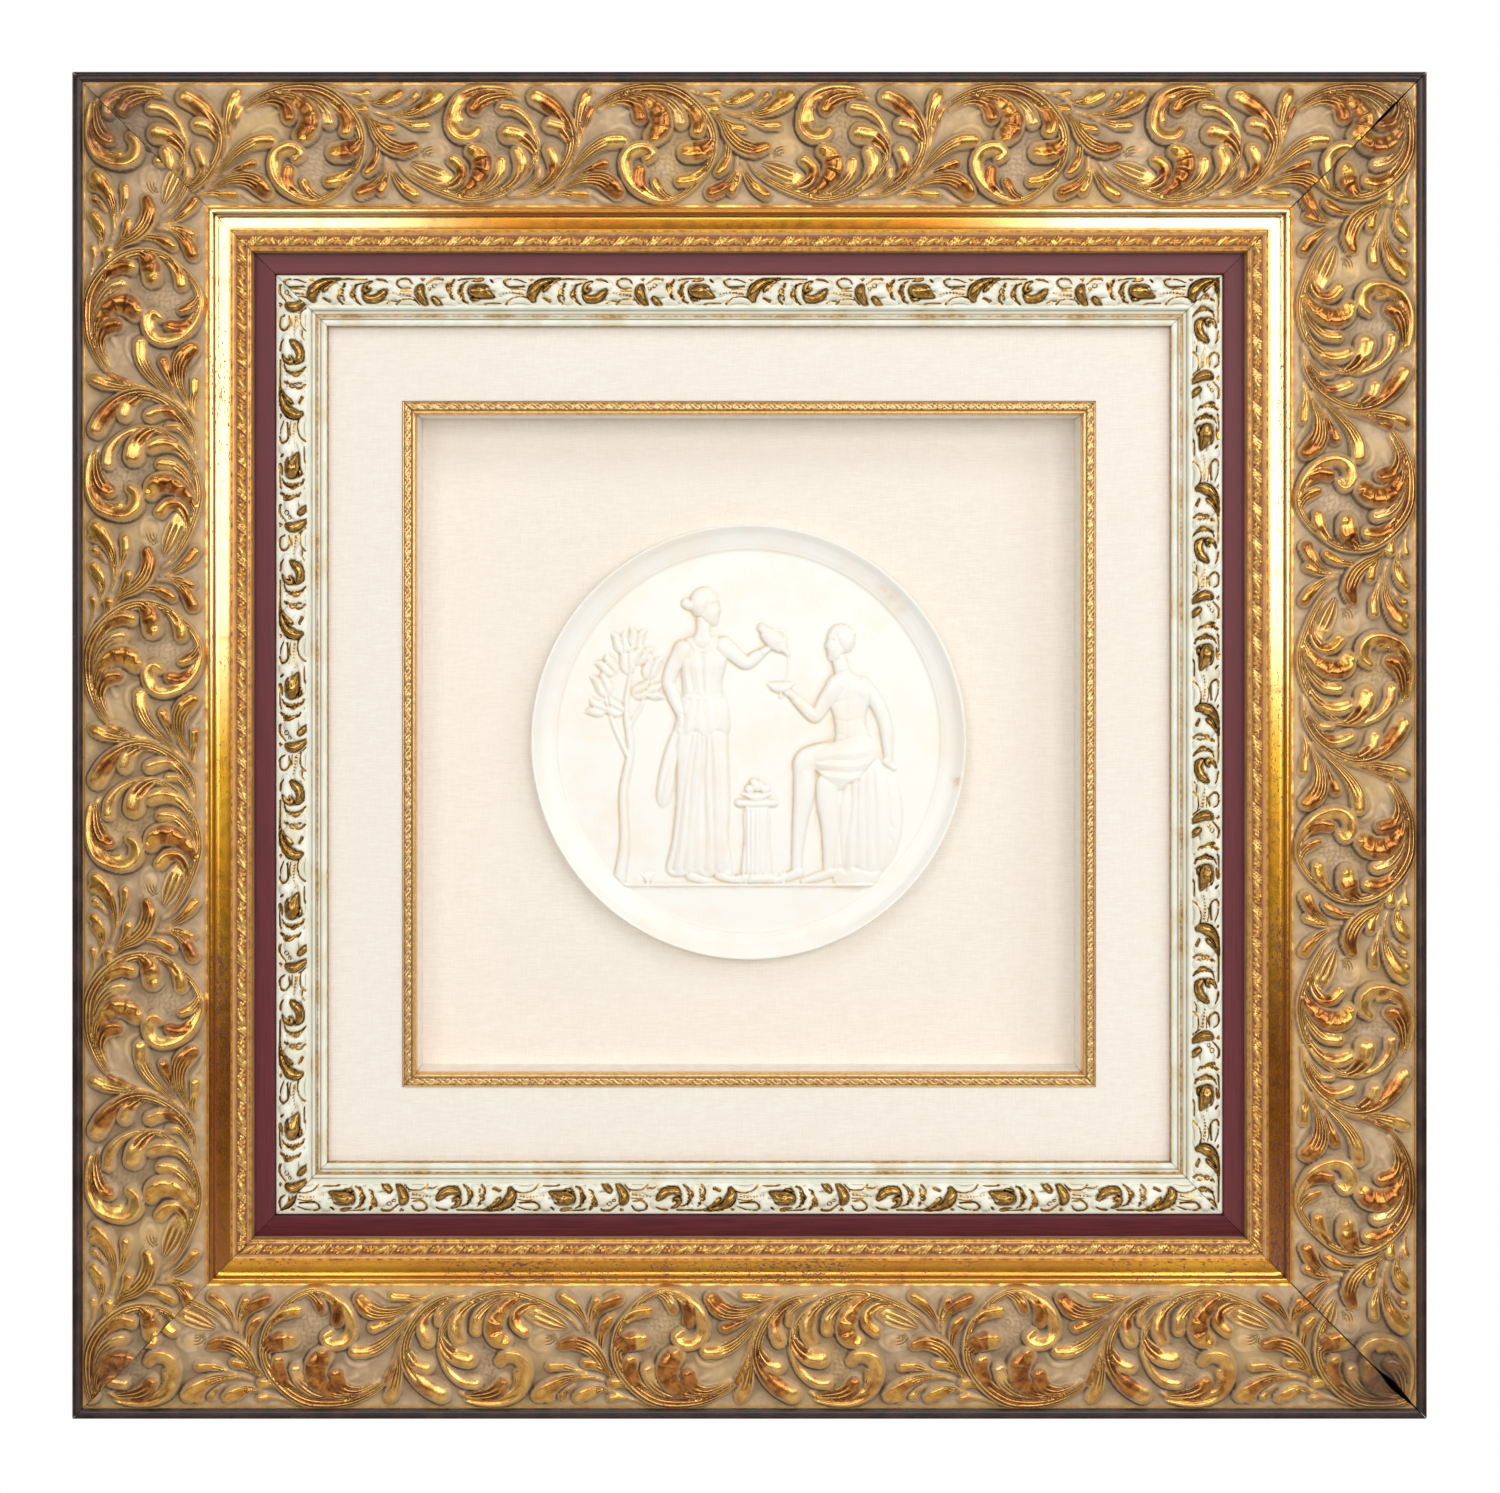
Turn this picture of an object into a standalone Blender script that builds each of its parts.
"""Framed relief roundel: a round low-relief plaque on a linen-covered backing in a deep shadow-box frame.

Metres, +Z up. The front faces -Y and the back lies in the plane y = 0. The origin is on the back of the
top outer rail, where the frame hangs. In the comments u is the distance inward from the frame's outer
edge and h is the height above the back plane.
"""
import math

import bmesh
import bpy
import numpy as np
from mathutils import Matrix, Vector

# ---------------------------------------------------------------- driving dimensions (metres)
FRAME_W = 0.914              # outer width (36 in)
FRAME_H = 0.909              # outer height
HANG_U = 0.055               # the origin, below the top edge, on the back of the top rail
GAP = 0.0003                 # clearance between touching pieces
PERIOD = 0.2361              # repeat of the scroll ornament, two scrolls long
SCROLL_U0, SCROLL_U1 = 0.0077, 0.0921    # the carved band of the outer rail
SCROLL_RELIEF = 0.0065
OUTER_SIGHT_U = 0.1212       # sight edge of the outer rail
REBATE_U = 0.1100            # back rebate of the outer rail
SLIP_SIGHT_U = 0.1350
SLIP_H = 0.0500              # front face of the burgundy slip
INNER_OUT_U = 0.1353
INNER_SIGHT_U = 0.1699
INNER_RELIEF = 0.0028
INNER_PERIOD = 0.0741
MAT_H = 0.0400               # front face of the linen mat
MAT_T = 0.0030
MAT_IN_U = 0.2204            # where the fillet starts
OPEN_U = 0.2296              # the square opening's edge
BACKING_H0, BACKING_H1 = 0.0030, 0.0080
BOX_WALL_T = 0.0045
ROUNDEL_R = 0.1510
ROUNDEL_H0 = BACKING_H1 + GAP
ROUNDEL_T = 0.0140           # thickness at the rim
FIELD_T = 0.0075             # thickness at the sunk field
FIELD_R = 0.1350
GROUND_Z = -0.1003           # ground line below the roundel's centre
ROUNDEL_DZ = 0.0006

CENTRE_Z = HANG_U - FRAME_H / 2


# ---------------------------------------------------------------- scene and materials
for old in list(bpy.data.objects):
    bpy.data.objects.remove(old, do_unlink=True)


def material(name, rgb, rough, metal=0.0):
    mat = bpy.data.materials.new(name)
    mat.use_nodes = True
    node = next(n for n in mat.node_tree.nodes if n.type == 'BSDF_PRINCIPLED')
    node.inputs['Base Color'].default_value = (*rgb, 1.0)
    node.inputs['Roughness'].default_value = rough
    node.inputs['Metallic'].default_value = metal
    mat.diffuse_color = (*rgb, 1.0)
    return mat


GILT = material('gilt_scroll', (0.42, 0.26, 0.11), 0.42, 0.6)
BURGUNDY = material('burgundy_paint', (0.11, 0.02, 0.03), 0.35)
WHITE_GILT = material('white_and_gilt', (0.74, 0.77, 0.66), 0.5)
LINEN = material('linen', (0.84, 0.77, 0.67), 0.9)
FILLET = material('fillet_gilt', (0.62, 0.42, 0.16), 0.4, 0.7)
BISQUE = material('white_bisque', (0.86, 0.83, 0.76), 0.45)

frame_empty = bpy.data.objects.new('frame_centre', None)
bpy.context.collection.objects.link(frame_empty)
frame_empty.location = (0.0, 0.0, CENTRE_Z)


def add_object(name, bm, mat, turn=0.0, smooth=None):
    """Put a finished bmesh, modelled about the frame's centre, in the scene."""
    bmesh.ops.recalc_face_normals(bm, faces=bm.faces)
    mesh = bpy.data.meshes.new(name)
    bm.to_mesh(mesh)
    bm.free()
    mesh.materials.append(mat)
    if smooth is not None:
        mesh.shade_smooth()
        mesh.set_sharp_from_angle(angle=math.radians(smooth))
    ob = bpy.data.objects.new(name, mesh)
    bpy.context.collection.objects.link(ob)
    ob.parent = frame_empty
    ob.rotation_euler = (0.0, turn, 0.0)
    return ob


# each side: name, turn about Y from the top side, half the side's length, half-distance from the centre
SIDES = [
    ('top', 0.0, FRAME_W / 2, FRAME_H / 2),
    ('right', math.pi / 2, FRAME_H / 2, FRAME_W / 2),
    ('bottom', math.pi, FRAME_W / 2, FRAME_H / 2),
    ('left', -math.pi / 2, FRAME_H / 2, FRAME_W / 2),
]
MITRE = GAP / 2 * math.sqrt(2)       # each mitre face stands back half a gap


# ---------------------------------------------------------------- plain mitred lengths
def plain_rail(prefix, outline, mat):
    """Four mitred lengths with the closed section `outline`, a list of (u, h)."""
    for side, turn, half, dist in SIDES:
        bm = bmesh.new()
        ends = []
        for sign in (-1, 1):
            ends.append([bm.verts.new((sign * (half - u - MITRE), -h, dist - u)) for u, h in outline])
        n = len(outline)
        for i in range(n):
            j = (i + 1) % n
            bm.faces.new((ends[0][i], ends[0][j], ends[1][j], ends[1][i]))
        bm.faces.new(ends[0])
        bm.faces.new(list(reversed(ends[1])))
        add_object(f'{prefix}_{side}', bm, mat, turn, 30)


# ---------------------------------------------------------------- carved mitred lengths
def cut_mitres(bm, half, dist):
    for sign in (-1, 1):
        point = Vector((sign * (half - dist - MITRE), 0, 0))
        normal = Vector((sign, 0, -1)).normalized()
        geom = bm.verts[:] + bm.edges[:] + bm.faces[:]
        bmesh.ops.bisect_plane(bm, geom=geom, plane_co=point, plane_no=normal, clear_outer=True, dist=1e-6)
        rim = [e for e in bm.edges if e.is_boundary]
        bmesh.ops.holes_fill(bm, edges=rim, sides=0)


def reduce_faces(bm, target):
    """Return the same closed shape with about `target` triangles."""
    bmesh.ops.triangulate(bm, faces=bm.faces)
    bmesh.ops.recalc_face_normals(bm, faces=bm.faces)
    mesh = bpy.data.meshes.new('fine')
    count = len(bm.faces)
    bm.to_mesh(mesh)
    bm.free()
    ob = bpy.data.objects.new('fine', mesh)
    bpy.context.collection.objects.link(ob)
    mod = ob.modifiers.new('reduce', 'DECIMATE')
    mod.ratio = target / count
    graph = bpy.context.evaluated_depsgraph_get()
    low = bpy.data.meshes.new_from_object(ob.evaluated_get(graph))
    bpy.data.objects.remove(ob, do_unlink=True)
    out = bmesh.new()
    out.from_mesh(low)
    bpy.data.meshes.remove(low)
    return out


def carved_rail(prefix, front, back, carve, step, target, mat, smooth):
    """Four mitred lengths whose front is a carved height field.

    `front` is the list of (u, h) along the front, `back` closes the section, and carve(a, u) is the
    relief added at a along the rail from its middle.
    """
    fu = np.array([p[0] for p in front])
    fh = np.array([p[1] for p in front])
    for side, turn, half, dist in SIDES:
        reach = half - fu.min() + 0.004
        along = np.linspace(-reach, reach, int(2 * reach / step) + 1)
        grid_a, grid_u = np.meshgrid(along, fu, indexing='ij')
        height = fh[None, :] + carve(grid_a, grid_u)
        bm = bmesh.new()
        rows = []
        for i, a in enumerate(along):
            row = [bm.verts.new((a, -height[i, j], dist - fu[j])) for j in range(len(fu))]
            row += [bm.verts.new((a, -h, dist - u)) for u, h in back]
            rows.append(row)
        n = len(rows[0])
        for first, second in zip(rows, rows[1:]):
            for i in range(n):
                j = (i + 1) % n
                bm.faces.new((first[i], first[j], second[j], second[i]))
        bm.faces.new(rows[0])
        bm.faces.new(list(reversed(rows[-1])))
        bm = reduce_faces(bm, target)
        cut_mitres(bm, half, dist)
        add_object(f'{prefix}_{side}', bm, mat, turn, smooth)


# ---------------------------------------------------------------- scroll ornament
def lobe(a, u, a0, u0, a1, u1, wide, bend=0.0):
    """Height 0..1 of one leaf: a rounded head at (a0, u0) that tapers to a tail at (a1, u1)."""
    steps = 7
    best = np.zeros_like(a)
    nx, nu = -(u1 - u0), (a1 - a0)
    for k in range(steps):
        t = k / (steps - 1)
        side = bend * 4 * t * (1 - t)
        ca = a0 + (a1 - a0) * t + nx * side
        cu = u0 + (u1 - u0) * t + nu * side
        r = wide * (1 - 0.72 * t)
        d2 = ((a - ca) ** 2 + (u - cu) ** 2) / r ** 2
        best = np.maximum(best, (1 - 0.45 * t) * np.sqrt(np.clip(1 - d2, 0, 1)))
    return best


def scroll_relief(a, u):
    """Running acanthus scroll: two opposed spirals in every period, with leaves along their outer side."""
    mid = (SCROLL_U0 + SCROLL_U1) / 2
    band = SCROLL_U1 - SCROLL_U0
    out = np.zeros_like(a)
    for flip in (1, -1):
        shift = 0.0 if flip == 1 else PERIOD / 2
        x = np.mod(a - shift + PERIOD / 4, PERIOD) - PERIOD / 4      # the spiral's own run of the rail
        for x_run in (x, x - PERIOD):
            w = (u - mid) * flip
            # spiral stem: one and a third turns, closing in on the eye
            for k in range(46):
                t = k / 45
                ang = math.radians(200 - 470 * t)
                rad = 0.0365 * (1 - 0.62 * t)
                cx, cw = rad * math.cos(ang), rad * math.sin(ang)
                r = 0.0062 * (1 - 0.25 * t)
                d2 = ((x_run - cx) ** 2 + (w - cw) ** 2) / r ** 2
                out = np.maximum(out, 0.85 * np.sqrt(np.clip(1 - d2, 0, 1)))
            # leaf heads that turn in from the stem
            for k in range(5):
                ang = math.radians(150 - 62 * k)
                out = np.maximum(out, lobe(x_run, w, 0.0165 * math.cos(ang), 0.0165 * math.sin(ang),
                                           0.037 * math.cos(ang + 0.9), 0.037 * math.sin(ang + 0.9), 0.0075))
            # leaves that spring away from it towards the next scroll
            for k in range(4):
                ang = math.radians(58 - 34 * k)
                out = np.maximum(out, 0.8 * lobe(x_run, w, 0.042 + 0.028 * math.cos(ang),
                                                 -0.006 + 0.036 * math.sin(ang), 0.036, -0.014, 0.0070))
    fade = np.clip(np.minimum(u - SCROLL_U0, SCROLL_U1 - u) / (0.05 * band), 0, 1)
    return SCROLL_RELIEF * out * fade


def band_height(u):
    """The carved band's own gentle crown."""
    t = (u - SCROLL_U0) / (SCROLL_U1 - SCROLL_U0)
    return 0.0590 + 0.0042 * 4 * t * (1 - t)


scroll_cols = np.linspace(SCROLL_U0 + 0.0008, SCROLL_U1 - 0.0008, 22)
outer_front = [
    (0.0000, 0.0560), (0.0008, 0.0592), (0.0022, 0.0604), (0.0032, 0.0600), (0.0060, 0.0604), (0.0074, 0.0586),
]
outer_front += [(float(u), float(band_height(u))) for u in scroll_cols]
outer_front += [
    (0.0930, 0.0618), (0.0948, 0.0634), (0.0966, 0.0622), (0.0972, 0.0592), (0.0980, 0.0588),
    (0.1070, 0.0584), (0.1078, 0.0588), (0.1096, 0.0584), (0.1112, 0.0574), (0.1126, 0.0588), (0.1160, 0.0588),
    (0.1178, 0.0572), (0.1188, 0.0572), (0.1204, 0.0574), (OUTER_SIGHT_U, 0.0562),
]
outer_back = [
    (OUTER_SIGHT_U, SLIP_H + GAP), (REBATE_U, SLIP_H + GAP), (REBATE_U, 0.0), (0.0, 0.0),
]


def outer_carve(a, u):
    inside = (u > SCROLL_U0) & (u < SCROLL_U1)
    return np.where(inside, scroll_relief(a, u), 0.0)


carved_rail('outer_rail', outer_front, outer_back, outer_carve, 0.0040, 1080, GILT, 50)

# ---------------------------------------------------------------- burgundy slip
plain_rail('slip_rail', [
    (REBATE_U + GAP, 0.0380), (REBATE_U + GAP, SLIP_H), (SLIP_SIGHT_U - 0.0006, SLIP_H), (SLIP_SIGHT_U, SLIP_H - 0.0006),
    (SLIP_SIGHT_U, 0.0460), (0.1260, 0.0460), (0.1260, 0.0380),
], BURGUNDY)


# ---------------------------------------------------------------- white and gilt inner moulding
def inner_relief(a, u):
    """A round boss every period with a turned leaf between."""
    x = np.mod(a + INNER_PERIOD / 2, INNER_PERIOD) - INNER_PERIOD / 2
    out = np.zeros_like(a)
    for run in (x, x - INNER_PERIOD, x + INNER_PERIOD):
        out = np.maximum(out, lobe(run, u, 0.000, 0.1470, 0.012, 0.1415, 0.0062))
        out = np.maximum(out, 0.8 * lobe(run, u, 0.0300, 0.1425, 0.0180, 0.1485, 0.0052, 0.2))
    return INNER_RELIEF * out


inner_cols = np.linspace(0.1370, 0.1560, 9)
inner_front = [(INNER_OUT_U, 0.0475)]
inner_front += [(float(u), 0.0480 + 0.0026 * math.sin(math.pi * float((u - 0.1350) / 0.0235))) for u in inner_cols]
inner_front += [
    (0.1573, 0.0490), (0.1588, 0.0486), (0.1596, 0.0472), (0.1608, 0.0463), (0.1620, 0.0460),
    (0.1628, 0.0468), (0.1646, 0.0467), (0.1655, 0.0460), (0.1668, 0.0470), (0.1686, 0.0468), (INNER_SIGHT_U, 0.0454),
]
inner_back = [
    (INNER_SIGHT_U, MAT_H + GAP), (0.1600, MAT_H + GAP), (0.1600, 0.0300), (0.1263, 0.0300),
    (0.1263, 0.0457), (INNER_OUT_U, 0.0457),
]


def inner_carve(a, u):
    inside = (u > 0.1375) & (u < 0.1555)
    return np.where(inside, inner_relief(a, u), 0.0)


carved_rail('inner_rail', inner_front, inner_back, inner_carve, 0.0030, 430, WHITE_GILT, 50)

# ---------------------------------------------------------------- gilt fillet, and the shadow box's side walls
FILLET_UNDER = MAT_H - MAT_T - GAP
plain_rail('fillet', [
    (0.2110, FILLET_UNDER), (MAT_IN_U, FILLET_UNDER), (MAT_IN_U, 0.0412), (0.2214, 0.0419), (0.2256, 0.0419),
    (0.2264, 0.0413), (0.2274, 0.0425), (0.2289, 0.0423), (OPEN_U, 0.0412), (OPEN_U, 0.0337), (0.2110, 0.0337),
], FILLET)
plain_rail('box_wall', [
    (OPEN_U - BOX_WALL_T, BACKING_H1 + GAP), (OPEN_U - BOX_WALL_T, 0.0334), (OPEN_U - 0.0002, 0.0334),
    (OPEN_U - 0.0002, BACKING_H1 + GAP),
], LINEN)


# ---------------------------------------------------------------- mat with its square opening, and the backing
def square_ring(name, outer_u, inner_u, h0, h1, mat):
    bm = bmesh.new()
    loops = []
    for u, h in ((outer_u, h0), (outer_u, h1), (inner_u, h1), (inner_u, h0)):
        hx, hz = FRAME_W / 2 - u, FRAME_H / 2 - u
        loops.append([bm.verts.new((sx * hx, -h, sz * hz)) for sx, sz in ((-1, 1), (1, 1), (1, -1), (-1, -1))])
    for k in range(4):
        first, second = loops[k], loops[(k + 1) % 4]
        for i in range(4):
            j = (i + 1) % 4
            bm.faces.new((first[i], first[j], second[j], second[i]))
    add_object(name, bm, mat)


def plate(name, outer_u, h0, h1, mat):
    bm = bmesh.new()
    hx, hz = FRAME_W / 2 - outer_u, FRAME_H / 2 - outer_u
    bmesh.ops.create_cube(bm, size=1.0)
    bmesh.ops.scale(bm, verts=bm.verts, vec=(2 * hx, h1 - h0, 2 * hz))
    bmesh.ops.translate(bm, verts=bm.verts, vec=(0, -(h0 + h1) / 2, 0))
    add_object(name, bm, mat)


square_ring('linen_mat', 0.1603, MAT_IN_U - GAP, MAT_H - MAT_T, MAT_H, LINEN)
plate('backing_board', REBATE_U + GAP, BACKING_H0, BACKING_H1, LINEN)


# ---------------------------------------------------------------- roundel
def capsule(x, z, x0, z0, r0, x1, z1, r1, lift=1.0):
    """Height, in metres, of a limb laid flat: a tapered rod from (x0, z0) to (x1, z1)."""
    dx, dz = x1 - x0, z1 - z0
    t = np.clip(((x - x0) * dx + (z - z0) * dz) / (dx * dx + dz * dz + 1e-12), 0, 1)
    r = r0 + (r1 - r0) * t
    d2 = ((x - x0 - dx * t) ** 2 + (z - z0 - dz * t) ** 2) / r ** 2
    return lift * r * np.sqrt(np.clip(1 - d2, 0, 1))


MM = 0.001
# limbs in millimetres from the roundel's centre: x0, z0, r0, x1, z1, r1, lift
STANDING = [
    (-30, 92, 9.0, -29, 97, 8.0, 0.8), (-31, 74, 5.5, -30, 84, 5.0, 0.7), (-33, 66, 13, -31, 40, 12, 0.45),
    (-31, 40, 11, -29, 20, 16, 0.45), (-29, 20, 17, -34, -85, 18, 0.38), (-27, 20, 13, -20, -86, 12, 0.4),
    (-22, 66, 5.5, 4, 62, 4.5, 0.8), (4, 62, 4.4, 22, 74, 3.2, 0.8), (-44, 64, 5.5, -52, 38, 4.8, 0.8),
    (-52, 38, 4.6, -40, 18, 3.6, 0.8), (-34, -92, 5, -22, -95, 4, 0.8), (-16, -92, 5, -6, -95, 4, 0.8),
    (26, 78, 5.5, 32, 74, 4.0, 0.8),
]
SEATED = [
    (62, 56, 9.0, 63, 61, 8.0, 0.8), (64, 40, 5.0, 63, 48, 5.0, 0.7), (68, 34, 12, 74, -2, 11, 0.5),
    (74, -8, 13, 40, -12, 9, 0.55), (38, -14, 7.5, 34, -58, 5.0, 0.6), (76, -14, 12, 50, -28, 9, 0.5),
    (50, -30, 7.5, 52, -72, 5.0, 0.55), (34, -60, 5, 26, -92, 4, 0.6), (52, -74, 5, 46, -92, 4, 0.6),
    (28, -94, 4, 18, -96, 3, 0.7), (46, -94, 4, 36, -96, 3, 0.7), (60, 32, 5, 44, 14, 4.4, 0.8),
    (44, 14, 4.2, 28, 30, 3.2, 0.8), (92, -20, 10, 92, -92, 10, 0.35), (70, -30, 12, 74, -92, 14, 0.3),
]
SETTING = [
    (2, -40, 10, 2, -88, 9, 0.5), (-6, -32, 6, 10, -32, 6, 0.5), (-10, -94, 5, 14, -94, 5, 0.5),
    (-84, -92, 5, -76, 10, 3.6, 0.5), (-76, 10, 3.6, -84, 50, 2.6, 0.5), (-76, 10, 3, -62, 44, 2.4, 0.5),
]


def roundel_height(x, z):
    """Thickness of the plaque at (x, z): turned rim, ground line and the figures of the relief."""
    r = np.hypot(x, z)
    top = np.interp(r, [0.0, 0.1335, 0.1350, 0.1362, 0.1400, 0.1445, 0.1475, 0.1490, 0.1502, ROUNDEL_R],
                    [FIELD_T, FIELD_T, 0.0088, 0.0092, 0.0098, 0.0112, 0.0132, 0.0140, 0.0138, 0.0118])
    inside = r < 0.1330
    relief = np.zeros_like(x)
    for group in (STANDING, SEATED, SETTING):
        for x0, z0, r0, x1, z1, r1, lift in group:
            relief = np.maximum(relief, capsule(x, z, x0 * MM, z0 * MM, r0 * MM, x1 * MM, z1 * MM, r1 * MM, lift))
    for k in range(9):                   # crown of the small tree
        ang = k * 2.4
        rad = 0.0045 * math.sqrt(k)
        cx, cz = -0.076 + 1.3 * rad * math.cos(ang), 0.058 + 1.5 * rad * math.sin(ang)
        relief = np.maximum(relief, 0.35 * np.sqrt(np.clip(0.0085 ** 2 - (x - cx) ** 2 - (z - cz) ** 2, 0, None)))
    relief = 0.0055 * (1 - np.exp(-relief / 0.0042))
    ground = np.where((z < GROUND_Z + 0.0022) & (z > GROUND_Z), 0.0016, 0.0)
    return top + np.where(inside, np.maximum(relief, ground), 0.0)


def build_roundel():
    rings, spokes = 62, 168
    bm = bmesh.new()
    radii = [ROUNDEL_R * (k / rings) ** 0.92 for k in range(1, rings + 1)]
    ang = np.linspace(0, 2 * math.pi, spokes, endpoint=False)
    centre = bm.verts.new((0, -(ROUNDEL_H0 + float(roundel_height(np.zeros(1), np.zeros(1))[0])), 0))
    loops = []
    for rad in radii:
        x, z = rad * np.cos(ang), rad * np.sin(ang)
        t = roundel_height(x, z)
        loops.append([bm.verts.new((x[i], -(ROUNDEL_H0 + t[i]), z[i])) for i in range(spokes)])
    side = [bm.verts.new((ROUNDEL_R * math.cos(a), -(ROUNDEL_H0 + 0.002), ROUNDEL_R * math.sin(a))) for a in ang]
    back = [bm.verts.new((0.1490 * math.cos(a), -(ROUNDEL_H0 - 0.004), 0.1490 * math.sin(a))) for a in ang]
    loops += [side, back]
    for first, second in zip(loops, loops[1:]):
        for i in range(spokes):
            j = (i + 1) % spokes
            bm.faces.new((first[i], first[j], second[j], second[i]))
    for i in range(spokes):
        bm.faces.new((centre, loops[0][i], loops[0][(i + 1) % spokes]))
    bm.faces.new(list(reversed(back)))
    bm = reduce_faces(bm, 2500)
    geom = bm.verts[:] + bm.edges[:] + bm.faces[:]
    bmesh.ops.bisect_plane(bm, geom=geom, plane_co=(0, -ROUNDEL_H0, 0), plane_no=(0, 1, 0), clear_outer=True,
                           dist=1e-6)
    bmesh.ops.holes_fill(bm, edges=[e for e in bm.edges if e.is_boundary], sides=0)
    ob = add_object('roundel', bm, BISQUE, 0.0, 40)
    ob.location = (0.0, 0.0, ROUNDEL_DZ)


build_roundel()
